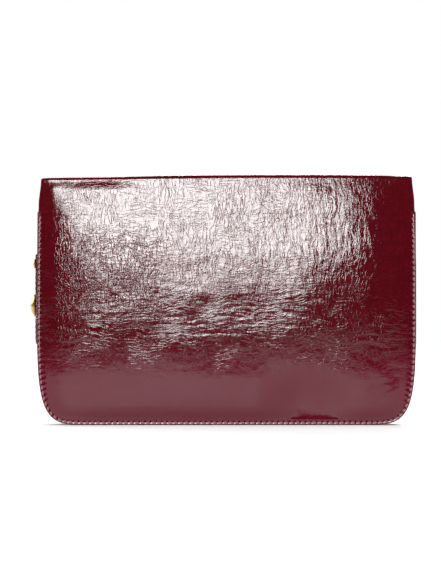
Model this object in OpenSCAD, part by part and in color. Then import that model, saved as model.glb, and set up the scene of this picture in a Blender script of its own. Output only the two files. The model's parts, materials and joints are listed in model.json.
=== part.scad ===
// Envelope clutch purse in glazed leather, in millimetres.
// +X is the wearer's right seen from the front, the flap and its press stud face -Y,
// the plain back panel faces +Y, and the purse stands on its seam rims at z = 0.

/* [Body] */
// Width over the seam rims
body_w = 240; // [200:1:260]
// Height to the top of the fold
body_h = 158; // [150:1:180]
// Distance from the middle to the outer face of each panel at the floor
foot_y = 15; // [14:0.5:18]
// How far each panel leans inwards, in degrees
lean = 2.3; // [1.5:0.1:2.8]
// Height of the mouth, where the side seams start
mouth_z = 135; // [130:1:136]
// Half width lost between the seams and the fold
top_taper = 1; // [0:0.1:1.5]

/* [Corners] */
// Width of a lower corner's curve
corner_w = 41.7; // [30:0.1:60]
// Height of a lower corner's curve
corner_h = 100; // [80:1:110]
// Squareness of a lower corner's curve
corner_n = 5.5; // [4:0.1:7]

/* [Leather] */
// Thickness of the outer leather
skin = 1.3; // [1.1:0.1:1.4]
// Thickness of the stiffening board, the gusset flange and the turned edges
core = 0.9; // [0.7:0.1:1]
// Thickness of the lining leather
lining = 0.7; // [0.5:0.1:0.8]
// How far the gusset wall stands in from the rim
rim = 5.2; // [5:0.1:6]
// Thickness of the gusset wall
wall = 1.2; // [0.9:0.1:1.3]

/* [Flap] */
// Length of the flap below its fold line
flap_len = 126; // [110:1:134]
// Depth of the fold between its two bend lines
fold_d = 19.4; // [19:0.1:22]
// How far the stiffening stops short of each bend line, so that the leather can bend
bend_room = 8; // [6:0.5:9]
// How far the flap leans outwards, in degrees
flap_lean = 3.3; // [3:0.1:4]
// Width of a flap corner's curve
flap_corner_w = 44; // [30:1:60]
// Height of a flap corner's curve
flap_corner_h = 40; // [30:1:60]
// Squareness of a flap corner's curve
flap_corner_n = 3; // [2:0.1:4]
// Width of the edge that is turned over on the flap
turned = 7; // [5:0.5:10]

/* [Seams] */
// Distance from one stitch to the next
stitch_pitch = 3.5; // [3:0.1:5]
// Length of a stitch that shows
stitch_len = 2.7; // [2:0.1:2.9]
// Width of the thread
thread_w = 1.2; // [0.6:0.05:1.3]
// Height of the thread above the leather
thread_h = 0.3; // [0.2:0.05:0.35]
// Distance from the edge to the stitches
stitch_in = 1.4; // [1.3:0.1:2.4]
// Slant of each stitch, in degrees
stitch_slant = 18; // [0:1:20]

/* [Press studs] */
// Radius of a brass cap
cap_r = 7.2; // [6:0.1:7.4]
// Height of a brass cap over the leather
cap_h = 3.1; // [2.5:0.1:3.5]
// Radius of the head of a stud
stud_head_r = 2.3; // [2:0.1:2.4]
// Height of the flap's press stud above the floor
flap_stud_z = 46; // [42:1:56]

/* [Side tab] */
// Width of the tab
tab_w = 15; // [12:0.5:16]
// Lower end of the tab
tab_z0 = 51; // [45:1:60]
// Upper end of the tab
tab_z1 = 108; // [104:1:112]
// Height of the line where the tab bends
tab_bend_z = 96; // [94:0.5:97]
// Height of the tab's press stud
tab_stud_z = 75.5; // [70:0.5:80]
// Height of the tab's rivet
tab_rivet_z = 102; // [101:0.5:103]
// Distance from the gusset to the back of the tab
tab_gap = 4.5; // [4.4:0.1:4.7]
// Thickness of the tab
tab_t = 1.7; // [1.2:0.1:1.8]

/* [Inside] */
// Width of the slip pocket
pocket_w = 160; // [100:1:190]
// Lower edge of the slip pocket
pocket_z0 = 36; // [20:1:50]
// Upper edge of the slip pocket
pocket_z1 = 106; // [90:1:112]
// Thickness of the slip pocket
pocket_t = 0.9; // [0.6:0.1:1]
// Height of the facing inside the mouth
facing_h = 17; // [12:1:24]

/* [Hidden] */

$fn = 48;
big = 400;
arc_step = 3;
gap = 0.25;        // between two leathers that bend against each other
skim = 0.05;       // between a metal part and the leather it sits on
floor_cut = 0.1;   // panels run this far below the floor and are cut off flat

// The two bend lines of the fold lie at the inner face of the outer leather.
fold_z = body_h - skin;
slant_h = fold_z / cos(lean);
back_y = foot_y - skin / cos(lean) - fold_z * tan(lean);
flap_y = back_y - fold_d;
flap_stud_w = (fold_z - flap_stud_z) / cos(flap_lean);

gusset_x = body_w / 2 - rim;
lining_in = rim + wall + 0.2;
tab_in_x = gusset_x + tab_gap;
tab_out_x = tab_in_x + tab_t;
lining_x = gusset_x - wall - 0.65;

hole_r = 1.3;
post_r = 1.2;
socket_r = 5;
socket_bore_r = stud_head_r + 0.45;
stud_base_r = 4.5;
stud_base_t = 0.6;
eyelet_t = 0.5;

leather_colour = [0.38, 0.03, 0.07];
lining_colour = [0.42, 0.13, 0.14];
board_colour = [0.75, 0.68, 0.55];
thread_colour = [0.48, 0.15, 0.2];
brass_colour = [0.85, 0.65, 0.25];

// ---- outlines, as lists of [x, z] ----

// One lower corner curve, from its side to its foot, for a half width and a lowest z.
function corner(half_w, low, a, b, n) = [
    for (t = [0 : arc_step : 90])
        [half_w - a * (1 - pow(cos(t), 2 / n)), low + b * (1 - pow(sin(t), 2 / n))]
];

function mirrored(points) = [
    for (i = [len(points) - 1 : -1 : 0]) [-points[i][0], points[i][1]]
];

// The panel's outline, a distance d in from its edge, up to height top.
function panel_side(d, top) = concat(
    [[body_w / 2 - d - (top > corner_h ? top_taper * (top - corner_h)
        / (slant_h - corner_h) : 0), top]],
    corner(body_w / 2 - d, d, corner_w - d, corner_h - d, corner_n)
);

function panel_outline(d, top) =
    let (side = panel_side(d, top)) concat(side, mirrored(side));

// The flap's outline hangs from its bend line at z = 0.
function flap_side(d, top = -gap) = concat(
    [[body_w / 2 - top_taper - d, top]],
    corner(body_w / 2 - top_taper - d, d - flap_len, flap_corner_w - d,
        flap_corner_h - d, flap_corner_n)
);

function flap_outline(d, top = -gap) =
    let (side = flap_side(d, top)) concat(side, mirrored(side));

// ---- frames and plates ----

// The back panel's own plane: y = 0 is the inner face of its outer leather and z = 0 its foot.
module back_frame() {
    translate([0, back_y, fold_z]) rotate([lean, 0, 0]) translate([0, 0, -slant_h]) children();
}

module front_frame() {
    mirror([0, 1, 0]) back_frame() children();
}

// The flap's own plane: y = 0 is the inner face of its outer leather and z = 0 its bend line.
module flap_frame() {
    translate([0, flap_y, fold_z]) rotate([-flap_lean, 0, 0]) children();
}

// Stands a flat drawing up, from y = y0 to y = y0 + t.
module plate(y0, t) {
    translate([0, y0 + t, 0]) rotate([90, 0, 0]) linear_extrude(t) children();
}

module above_floor() {
    difference() {
        children();
        translate([-big / 2, -big / 2, -big]) cube([big, big, big]);
    }
}

// A cylinder that points along +X from x0.
module x_cylinder(x0, len, r) {
    translate([x0, 0, 0]) rotate([0, 90, 0]) cylinder(h = len, r = r);
}

// A cylinder that points along -Y from y0.
module y_cylinder(y0, len, r) {
    translate([0, y0, 0]) rotate([90, 0, 0]) cylinder(h = len, r = r);
}

// ---- stitches ----

// Running length along a list of points, up to point i.
function run(p, i) = i == 0 ? 0 : run(p, i - 1) + norm(p[i] - p[i - 1]);

module one_stitch() {
    a = stitch_len / 2;
    b = thread_w / 2;
    linear_extrude(thread_h)
        polygon([[-a, 0], [-a + b, -b], [a - b, -b], [a, 0], [a - b, b], [-a + b, b]]);
}

// A row of stitches along points [x, z], lying on the plane y = 0 and proud of it towards +Y.
module stitch_row(p) {
    runs = [for (i = [0 : len(p) - 1]) run(p, i)];
    xs = [for (i = [0 : len(p) - 1]) [runs[i], p[i][0]]];
    zs = [for (i = [0 : len(p) - 1]) [runs[i], p[i][1]]];
    count = floor(runs[len(p) - 1] / stitch_pitch);
    for (i = [0 : count - 1]) {
        s = (i + 0.5) * stitch_pitch;
        dx = lookup(s + 1, xs) - lookup(s - 1, xs);
        dz = lookup(s + 1, zs) - lookup(s - 1, zs);
        translate([lookup(s, xs), 0, lookup(s, zs)])
            rotate([0, -atan2(dz, dx) - stitch_slant, 0])
                rotate([-90, 0, 0]) one_stitch();
    }
}

function seam_path() =
    let (side = panel_side(stitch_in, mouth_z - 1)) concat(side, mirrored(side));

function flap_seam_path() =
    let (side = flap_side(stitch_in, mouth_z - fold_z)) concat(side, mirrored(side));

// ---- back, front and lining ----

module side_bands(z0, z1, x_in) {
    for (s = [-1, 1])
        intersection() {
            polygon(panel_outline(0, z1));
            translate([s > 0 ? x_in : -x_in - 20, z0]) square([20, z1 - z0]);
        }
}

module back_panel() {
    top = slant_h - gap;
    color(leather_colour) above_floor() back_frame() {
        plate(0, skin) translate([0, -floor_cut]) polygon(panel_outline(0, top + floor_cut));
        plate(-core, core) side_bands(mouth_z + 0.6, top, body_w / 2 - lining_in + 0.2);
    }
}

module back_board() {
    color(board_colour) back_frame()
        plate(-core, core) polygon(panel_outline(lining_in, slant_h - bend_room));
}

module back_lining() {
    top = slant_h - gap;
    color(lining_colour) back_frame() plate(-core - lining, lining) {
        polygon(panel_outline(lining_in, top));
        side_bands(mouth_z + 0.6, top, body_w / 2 - 30);
    }
}

module stud_hole(z, r) {
    translate([0, z]) circle(r);
}

module front_panel() {
    color(leather_colour) above_floor() front_frame() plate(0, skin) difference() {
        translate([0, -floor_cut]) polygon(panel_outline(0, mouth_z + floor_cut));
        stud_hole(flap_stud_z, hole_r);
    }
}

module front_board() {
    color(board_colour) front_frame() plate(-core, core) difference() {
        polygon(panel_outline(lining_in, mouth_z));
        stud_hole(flap_stud_z, hole_r);
    }
}

module front_lining() {
    color(lining_colour) front_frame() plate(-core - lining, lining) difference() {
        polygon(panel_outline(lining_in, mouth_z - facing_h));
        stud_hole(flap_stud_z, hole_r);
    }
}

module front_facing() {
    color(leather_colour) front_frame() plate(-core - lining, lining) difference() {
        polygon(panel_outline(lining_in, mouth_z));
        translate([-big / 2, mouth_z - facing_h - big]) square([big, big]);
    }
}

// ---- gussets ----

// Everything between the two panels, from a plane d inside each panel's outer leather.
module between_panels(d, top) {
    y_at = function (z) back_y + (fold_z - z) * tan(lean) - d / cos(lean);
    translate([-big / 2, 0, 0]) rotate([90, 0, 90]) linear_extrude(big)
        polygon([[-y_at(0), 0], [y_at(0), 0], [y_at(top), top], [-y_at(top), top]]);
}

module ring(d_out, d_in, top) {
    difference() {
        polygon(panel_outline(d_out, top));
        polygon(panel_outline(d_in, top + 1));
    }
}

// Keeps the stretch of a flat drawing from x0 to x1.
module slice(x0, x1) {
    intersection() {
        children();
        translate([x0, -1]) square([x1 - x0, big]);
    }
}

module gusset_part(x0, x1) {
    intersection() {
        translate([0, foot_y, 0]) rotate([90, 0, 0]) linear_extrude(2 * foot_y)
            slice(x0, x1) ring(rim, rim + wall, mouth_z);
        between_panels(core / 2, mouth_z + 1);
    }
    above_floor() for (side = [0, 1])
        mirror([0, side, 0]) back_frame() plate(-core, core) translate([0, -floor_cut])
            slice(x0, x1) ring(0, rim + wall / 2, mouth_z + floor_cut);
}

corner_x = body_w / 2 - corner_w;

module left_gusset() {
    color(leather_colour) gusset_part(-big / 2, -corner_x - skim);
}

module right_gusset() {
    color(leather_colour) difference() {
        gusset_part(corner_x + skim, big / 2);
        for (z = [tab_stud_z, tab_rivet_z])
            translate([0, 0, z]) x_cylinder(corner_x, body_w, hole_r);
    }
}

module bottom_gusset() {
    color(leather_colour) gusset_part(-corner_x, corner_x);
}

module gusset_lining() {
    color(lining_colour) difference() {
        intersection() {
            translate([0, big / 2, 0]) rotate([90, 0, 0]) linear_extrude(big)
                ring(rim + wall + skim, rim + wall + 0.65, mouth_z);
            between_panels(core + lining + skim, mouth_z);
        }
        for (z = [tab_stud_z, tab_rivet_z])
            translate([0, 0, z]) x_cylinder(corner_x, body_w, hole_r);
    }
}

// ---- slip pocket ----

function pocket_outline(d) =
    let (side = concat(
        [[pocket_w / 2 - d, pocket_z1]],
        corner(pocket_w / 2 - d, pocket_z0 + d, 14 - d, 14 - d, 2)
    )) concat(side, mirrored(side));

module slip_pocket() {
    color(leather_colour) back_frame()
        plate(-core - lining - pocket_t, pocket_t) polygon(pocket_outline(0));
}

module pocket_stitches() {
    color(thread_colour) back_frame()
        translate([0, -core - lining - pocket_t, 0])
            mirror([0, 1, 0]) stitch_row(pocket_outline(stitch_in));
}

// ---- seams ----

module back_seam_stitches() {
    color(thread_colour) back_frame() translate([0, skin, 0]) stitch_row(seam_path());
}

module front_seam_stitches() {
    color(thread_colour) front_frame() translate([0, skin, 0]) stitch_row(seam_path());
}

module mouth_stitches() {
    z = mouth_z - stitch_in;
    half = body_w / 2 - 6;
    color(thread_colour) front_frame() translate([0, skin, 0])
        stitch_row([[half, z], [-half, z]]);
}

// ---- press studs, drawn along +Z from the leather they sit on ----

// The domed brass cap with its post, which runs down through the leather.
module cap(r, h, post_len) {
    edge = 0.9;
    dome_r = (r * r + (h - edge) * (h - edge)) / (2 * (h - edge));
    steps = 14;
    sweep = asin(r / dome_r);
    rotate_extrude() polygon(concat(
        [[0, 0], [r - 0.35, 0], [r, 0.3], [r, edge]],
        [for (i = [1 : steps - 1])
            [dome_r * sin(sweep * (1 - i / steps)),
                h - dome_r * (1 - cos(sweep * (1 - i / steps)))]],
        [[0, h]]
    ));
    translate([0, 0, -post_len]) cylinder(h = post_len, r = post_r);
}

// The socket hangs under the cap's leather, with its bore facing down.
module socket(t) {
    difference() {
        union() {
            cylinder(h = t, r = socket_r - 0.6);
            translate([0, 0, t - 0.8]) cylinder(h = 0.8, r = socket_r);
        }
        translate([0, 0, -1]) cylinder(h = t + 0.5, r = socket_bore_r);
    }
}

// The stud stands on the leather; its eyelet's barrel comes up into it.
module stud(head_h) {
    difference() {
        union() {
            cylinder(h = stud_base_t, r = stud_base_r);
            cylinder(h = stud_base_t + head_h * 0.5, r = stud_head_r - 0.35);
            translate([0, 0, stud_base_t + head_h * 0.4])
                cylinder(h = head_h * 0.3, r = stud_head_r);
            translate([0, 0, stud_base_t + head_h * 0.7])
                cylinder(h = head_h * 0.3, r1 = stud_head_r, r2 = stud_head_r - 0.7);
        }
        translate([0, 0, -1]) cylinder(h = 1 + stud_base_t + 0.4, r = hole_r);
    }
}

// A flanged barrel, with the flange from z = -eyelet_t to 0 and the barrel above it.
module eyelet(barrel) {
    translate([0, 0, -eyelet_t]) cylinder(h = eyelet_t, r = stud_base_r);
    cylinder(h = barrel, r = post_r);
}

stud_head_h = 1.7;
flap_socket_t = 1.9;

// Turns +Z to point out of the front panel, at the flap's press stud.
module at_front_stud(y) {
    front_frame() translate([0, y, flap_stud_z]) rotate([-90, 0, 0]) children();
}

// Turns +Z to point out of the flap, at its press stud.
module at_flap_stud(y) {
    flap_frame() translate([0, y, -flap_stud_w]) rotate([90, 0, 0]) children();
}

module front_stud() {
    color(brass_colour) at_front_stud(skin + skim) stud(stud_head_h);
}

module front_eyelet() {
    color(brass_colour) at_front_stud(-core - lining - skim)
        eyelet(core + lining + skin + skim + 0.6);
}

module flap_socket() {
    color(brass_colour) at_flap_stud(core + lining + skim + flap_socket_t)
        socket(flap_socket_t);
}

module flap_cap() {
    color(brass_colour) at_flap_stud(-skin - skim)
        cap(cap_r, cap_h, skin + core + lining + 2 * skim);
}

// ---- fold and flap ----

module fold_strip(z0, t, inset, half_w) {
    translate([-half_w, flap_y + inset, z0]) cube([2 * half_w, fold_d - 2 * inset, t]);
}

fold_half_w = body_w / 2 - top_taper;

module fold_leather() {
    color(leather_colour) fold_strip(fold_z, skin, gap, fold_half_w);
}

module fold_padding() {
    color(board_colour) fold_strip(fold_z - core, core, bend_room - 1, fold_half_w - 1);
}

module fold_lining() {
    color(lining_colour) fold_strip(fold_z - core - lining, lining,
        core + lining + 0.3, fold_half_w);
}

module flap_panel() {
    color(leather_colour) flap_frame() {
        plate(-skin, skin) difference() {
            polygon(flap_outline(0));
            stud_hole(-flap_stud_w, hole_r);
        }
        plate(0, core) difference() {
            polygon(flap_outline(0));
            polygon(concat([[0, 1]], flap_outline(turned)));
            translate([-body_w / 2 + top_taper + turned, -turned])
                square([body_w - 2 * (top_taper + turned), turned + 1]);
        }
    }
}

module flap_board() {
    color(board_colour) flap_frame() plate(0, core) difference() {
        polygon(flap_outline(turned + 0.2, -bend_room));
        stud_hole(-flap_stud_w, hole_r);
    }
}

module flap_lining() {
    color(lining_colour) flap_frame() plate(core, lining) difference() {
        polygon(flap_outline(0.8));
        stud_hole(-flap_stud_w, hole_r);
    }
}

module flap_stitches() {
    color(thread_colour) flap_frame() translate([0, -skin, 0])
        mirror([0, 1, 0]) stitch_row(flap_seam_path());
}

// ---- side tab ----

// The tab's outline as [y, z], with a round lower end.
module tab_outline(z0, z1) {
    r = tab_w / 2;
    steps = 16;
    if (z0 == tab_z0)
        polygon(concat(
            [[r, z1], [r, z0 + r]],
            [for (i = [1 : steps - 1])
                [r * cos(-180 * i / steps), z0 + r + r * sin(-180 * i / steps)]],
            [[-r, z0 + r], [-r, z1]]
        ));
    else
        translate([-r, z0]) square([tab_w, z1 - z0]);
}

// Stands a [y, z] drawing across X, from x0 to x0 + t.
module across_x(x0, t) {
    translate([x0, 0, 0]) rotate([90, 0, 90]) linear_extrude(t) children();
}

module side_tab() {
    color(leather_colour) across_x(tab_in_x, tab_t) difference() {
        tab_outline(tab_z0, tab_bend_z - gap);
        translate([0, tab_stud_z]) circle(hole_r);
    }
}

module tab_anchor() {
    color(leather_colour) difference() {
        union() {
            across_x(tab_in_x, tab_t) tab_outline(tab_bend_z + gap, tab_z1);
            across_x(gusset_x + skim, tab_gap - skim) tab_outline(tab_bend_z + 1, tab_z1);
        }
        translate([0, 0, tab_rivet_z]) x_cylinder(gusset_x - 1, 2 * tab_gap, hole_r);
    }
}

// The tab's stitches stop above and below its cap.
module tab_stitches() {
    r = tab_w / 2 - 1.8;
    low = tab_z0 + tab_w / 2;
    clear = cap_r + 1;
    under_cap = concat(
        [[r, tab_stud_z - clear], [r, low]],
        [for (t = [-15 : -15 : -165]) [r * cos(t), low + r * sin(t)]],
        [[-r, low], [-r, tab_stud_z - clear]]
    );
    color(thread_colour) translate([tab_out_x, 0, 0]) rotate([0, 0, -90]) {
        stitch_row([[r, tab_bend_z - 1], [r, tab_stud_z + clear]]);
        stitch_row([[-r, tab_stud_z + clear], [-r, tab_bend_z - 1]]);
        stitch_row(under_cap);
    }
}

// Turns +Z to point out of the right gusset, at height z.
module at_tab(x, z) {
    translate([x, 0, z]) rotate([0, 90, 0]) children();
}

module tab_rivet() {
    head_h = 1.5;
    head_r = 3;
    washer_x = lining_x - 0.25;
    color(brass_colour) {
        at_tab(tab_out_x + skim, tab_rivet_z)
            cap(head_r, head_h, tab_out_x + skim - washer_x);
        at_tab(washer_x - eyelet_t, tab_rivet_z) cylinder(h = eyelet_t, r = head_r);
    }
}

module tab_stud() {
    color(brass_colour) at_tab(gusset_x + skim, tab_stud_z) stud(stud_head_h);
}

module tab_eyelet() {
    color(brass_colour) at_tab(lining_x - skim, tab_stud_z)
        eyelet(gusset_x - lining_x + 0.7);
}

module tab_socket() {
    t = tab_gap - stud_base_t - 0.8;
    color(brass_colour) at_tab(tab_in_x - skim - t, tab_stud_z) socket(t);
}

module tab_cap() {
    color(brass_colour) at_tab(tab_out_x + skim, tab_stud_z)
        cap(cap_r, cap_h, tab_t + 2 * skim);
}

back_panel();
back_board();
back_lining();
front_panel();
front_board();
front_lining();
front_facing();
left_gusset();
right_gusset();
bottom_gusset();
gusset_lining();
slip_pocket();
pocket_stitches();
back_seam_stitches();
front_seam_stitches();
mouth_stitches();
front_stud();
front_eyelet();
fold_leather();
fold_padding();
fold_lining();
flap_panel();
flap_board();
flap_lining();
flap_stitches();
flap_socket();
flap_cap();
tab_anchor();
tab_rivet();
tab_stud();
tab_eyelet();
side_tab();
tab_stitches();
tab_socket();
tab_cap();
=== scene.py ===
"""The looks of a glazed-leather clutch purse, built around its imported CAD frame.

Lengths are in millimetres until a mesh is made. A place on a panel is given as x, the
distance s along the leather from its foot, and h, the height over the leather's inner face.
"""
import json
import math

import bmesh
import bpy
import numpy as np
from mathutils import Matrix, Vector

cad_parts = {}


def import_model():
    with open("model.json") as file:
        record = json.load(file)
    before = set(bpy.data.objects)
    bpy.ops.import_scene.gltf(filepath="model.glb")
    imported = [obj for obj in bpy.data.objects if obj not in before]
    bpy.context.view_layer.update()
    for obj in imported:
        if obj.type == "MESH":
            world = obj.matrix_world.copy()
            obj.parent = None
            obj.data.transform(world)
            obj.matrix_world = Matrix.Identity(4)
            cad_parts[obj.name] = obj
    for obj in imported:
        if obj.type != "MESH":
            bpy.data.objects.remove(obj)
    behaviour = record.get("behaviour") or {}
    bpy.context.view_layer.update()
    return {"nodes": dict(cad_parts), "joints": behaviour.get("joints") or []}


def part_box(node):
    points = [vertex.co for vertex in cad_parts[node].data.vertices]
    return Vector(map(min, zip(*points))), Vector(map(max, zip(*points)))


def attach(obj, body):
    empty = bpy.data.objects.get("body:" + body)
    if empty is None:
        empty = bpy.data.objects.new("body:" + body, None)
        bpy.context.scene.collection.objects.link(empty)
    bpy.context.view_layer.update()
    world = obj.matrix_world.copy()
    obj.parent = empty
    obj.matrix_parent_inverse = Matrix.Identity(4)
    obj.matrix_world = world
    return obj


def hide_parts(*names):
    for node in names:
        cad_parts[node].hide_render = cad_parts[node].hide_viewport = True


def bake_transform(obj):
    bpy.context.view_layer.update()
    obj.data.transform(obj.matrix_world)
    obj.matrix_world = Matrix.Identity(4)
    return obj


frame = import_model()

MM = 0.001
UV = "flat"


# ---- sizes, from the frame

def box_mm(node):
    """A CAD node's lowest and highest corners, in millimetres."""
    low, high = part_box(node)
    return np.array(low) / MM, np.array(high) / MM


def box_size(node):
    low, high = box_mm(node)
    return high - low


def box_middle(node):
    low, high = box_mm(node)
    return (low + high) / 2


HINGE = {j["name"]: np.array(j["pos_m"]) / MM for j in frame["joints"]}
BACK_Y, FOLD_Z = HINGE["fold_bend"][1:]
FLAP_Y = HINGE["flap_bend"][1]
SKIN = box_size("fold_leather")[2]
CORE = box_size("fold_padding")[2]
LINING = box_size("fold_lining")[2]
HALF_W, FOOT_Y = box_mm("back_panel")[1][:2]
TOP_HALF_W = box_mm("fold_leather")[1][0]
MOUTH = box_mm("left_gusset")[1][2]
LEAN = math.atan2(FOOT_Y - SKIN - BACK_Y, FOLD_Z)
SLANT = FOLD_Z / math.cos(LEAN)
FLAP_LOW = box_mm("flap_panel")[0]
FLAP_DROP = FOLD_Z - FLAP_LOW[2]
FLAP_OUT = FLAP_Y - SKIN - FLAP_LOW[1]
FLAP_LEAN = math.atan2(FLAP_OUT, FLAP_DROP)
FLAP_LEN = math.hypot(FLAP_OUT, FLAP_DROP)
GUSSET_X = box_mm("tab_stud")[0][0] - 0.05      # the stud stands just clear of the leather
RIM = HALF_W - GUSSET_X
WALL = 1.2          # thickness of the gussets' leather

# Lower corner curves: width, height and squareness.
BODY_CORNER = (41.7, 100, 5.5)
FLAP_CORNER = (44, 40, 3)
BEND_R = 0.2        # radius of the hide's inner face at each bend of the fold
TURN_IN = 6.5       # how far the hide is turned in at both ends of the fold
STITCH_PITCH = 3.5
STITCH_IN = 1.4     # from the panel's edge to the thread
STITCH_LEN = 2.8
STITCH_SLANT = 22   # degrees
HOLE_IN = 2.2       # from the panel's edge to the needle holes
SEAM_TOP = MOUTH - 1
RELIEF_IN = 8       # from the panel's edge to where its relief is at full height
# Distances from the edge of the rings of points round each padded panel.
EDGE_RINGS = (0, 0.12, 0.35, 0.7, 1.1, 1.5, 1.85, 2.2, 2.55, 2.95, 3.5, 4.3, 5.5, 7.2, 9.4, 12)
PUFF_WIDTH = EDGE_RINGS[-1]
# Shares of the width at which its inner face has columns of points.
INSIDE_COLUMNS = (0.004, 0.01, 0.02, 0.05, 0.12, 0.2, 0.3, 0.4, 0.5, 0.6, 0.7, 0.8, 0.88, 0.95,
                  0.98, 0.99, 0.996)
EDGE_ROUND = 0.7    # how far in a panel's outer edge is rounded
PUFF = 0.6          # how far padded leather stands over its own seam
PUFF_IN = 2.6       # from the panel's edge to where that begins
CROWN_Z = 66        # height of the crown's highest line, in the middle of the back
BACK_CROWN, FRONT_CROWN, FLAP_CROWN = 3.1, 0.9, 2.6     # how far each bulges there
# Heights between which the leather follows the hanging fold.
HANG_LOW, HANG_HIGH = 105, 152


# ---- small maths

def smooth(low, high, value):
    """0 at low and beyond, 1 at high and beyond, and an even curve between."""
    t = np.clip((np.asarray(value, float) - low) / (high - low), 0, 1)
    return t * t * (3 - 2 * t)


def bell(value, middle, width):
    return np.exp(-(((value - middle) / width) ** 2))


def soft_positive(value, softness):
    """The value where it is well over 0, and nearly 0 where it is well under."""
    return 0.5 * (value + np.sqrt(value * value + softness * softness))


def circle(count):
    """Angles spaced evenly round a whole turn."""
    return np.linspace(0, 2 * math.pi, count, endpoint=False)


def noise(x, y, seed):
    """Gradient noise, about -1 to 1, whose features lie about one unit apart."""
    x, y = np.broadcast_arrays(np.asarray(x, float), np.asarray(y, float))
    angles = np.random.default_rng(seed).uniform(0, 2 * math.pi, (256, 256))
    xi, yi = np.floor(x).astype(int), np.floor(y).astype(int)
    xf, yf = x - xi, y - yi

    def corner(dx, dy):
        angle = angles[(xi + dx) & 255, (yi + dy) & 255]
        return np.cos(angle) * (xf - dx) + np.sin(angle) * (yf - dy)

    u = xf ** 3 * (xf * (xf * 6 - 15) + 10)
    v = yf ** 3 * (yf * (yf * 6 - 15) + 10)
    low = corner(0, 0) * (1 - u) + corner(1, 0) * u
    high = corner(0, 1) * (1 - u) + corner(1, 1) * u
    return 1.5 * (low * (1 - v) + high * v)


# ---- where the leather lies

class Line:
    """A line in the YZ plane made of straight stretches and bends, with its outer side on
    the right. Each stretch is (length, turn to the left in radians)."""

    def __init__(self, start, heading, stretches):
        self.rows = []
        y, z = start
        s = 0
        for length, turn in stretches:
            self.rows.append((s, y, z, heading, length, turn))
            if turn:
                radius = length / turn
                y += radius * (math.sin(heading + turn) - math.sin(heading))
                z -= radius * (math.cos(heading + turn) - math.cos(heading))
            else:
                y += length * math.cos(heading)
                z += length * math.sin(heading)
            heading += turn
            s += length
        self.length = s

    def at(self, s):
        """y, z and the outward normal's y and z at each distance s along the line."""
        s = np.asarray(s, float)
        y, z, angle = (np.zeros_like(s) for _ in range(3))
        for index, (s0, y0, z0, heading, length, turn) in enumerate(self.rows):
            here = s >= s0 if index else np.ones_like(s, bool)
            run = s - s0
            if turn:
                radius = length / turn
                a = heading + run / radius
                y = np.where(here, y0 + radius * (np.sin(a) - math.sin(heading)), y)
                z = np.where(here, z0 - radius * (np.cos(a) - math.cos(heading)), z)
            else:
                a = np.full_like(s, heading)
                y = np.where(here, y0 + run * math.cos(heading), y)
                z = np.where(here, z0 + run * math.sin(heading), z)
            angle = np.where(here, a, angle)
        return y, z, np.sin(angle), -np.cos(angle)


BACK_TURN = math.pi / 2 - LEAN
FLAP_TURN = math.pi / 2 - FLAP_LEAN
BACK_CUT = BEND_R * math.tan(BACK_TURN / 2)
FLAP_CUT = BEND_R * math.tan(FLAP_TURN / 2)
FOLD_FLAT = BACK_Y - FLAP_Y - BACK_CUT - FLAP_CUT
HIDE = Line(
    (BACK_Y + FOLD_Z * math.tan(LEAN), 0), math.pi / 2 + LEAN,
    [(SLANT - BACK_CUT, 0), (BEND_R * BACK_TURN, BACK_TURN), (FOLD_FLAT, 0),
     (BEND_R * FLAP_TURN, FLAP_TURN), (FLAP_LEN - FLAP_CUT, 0)],
)
S_BACK_BEND = SLANT - BACK_CUT
S_FOLD = S_BACK_BEND + BEND_R * BACK_TURN
S_MIDDLE = S_FOLD + FOLD_FLAT / 2
S_FLAP_BEND = S_FOLD + FOLD_FLAT
S_FLAP = S_FLAP_BEND + BEND_R * FLAP_TURN
S_END = HIDE.length


def droop(x):
    """How much lower the fold hangs than its highest point: it falls towards +X, and a
    little at both ends."""
    x = np.asarray(x, float)
    ends = np.exp(-(TOP_HALF_W - np.abs(x)) / 1.2)
    return 1.4 * smooth(-25, 125, x) + 0.3 * smooth(75, 120, -x) + 0.2 + ends


def side_fall(x, s):
    """How far the hide sinks near the fold's end at -X, where the padding thins out."""
    near_fold = smooth(112, 146, s) * smooth(S_FLAP + 20, S_FLAP_BEND, s)
    return 0.01 * soft_positive(-x - 72, 9) * near_fold


def on_hide(x, s, h):
    """Places on the one hide that makes the back, the fold and the flap."""
    x, s, h = np.broadcast_arrays(x, s, h)
    h = h - side_fall(x, s)
    y, z, ny, nz = HIDE.at(s)
    low = droop(x) * smooth(HANG_LOW, HANG_HIGH, z)
    return np.stack([x, y + h * ny, z + h * nz - low], -1)


def on_front(x, s, h):
    """Places on the front panel, which mirrors the lower part of the back."""
    x, s, h = np.broadcast_arrays(x, s, h)
    y, z, ny, nz = HIDE.at(s)
    return np.stack([x, -(y + h * ny), z + h * nz], -1)


def panel_y(z):
    """The inner face of the back panel's leather at height z."""
    return BACK_Y + (FOLD_Z - z) * math.tan(LEAN)


# ---- outlines

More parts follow.
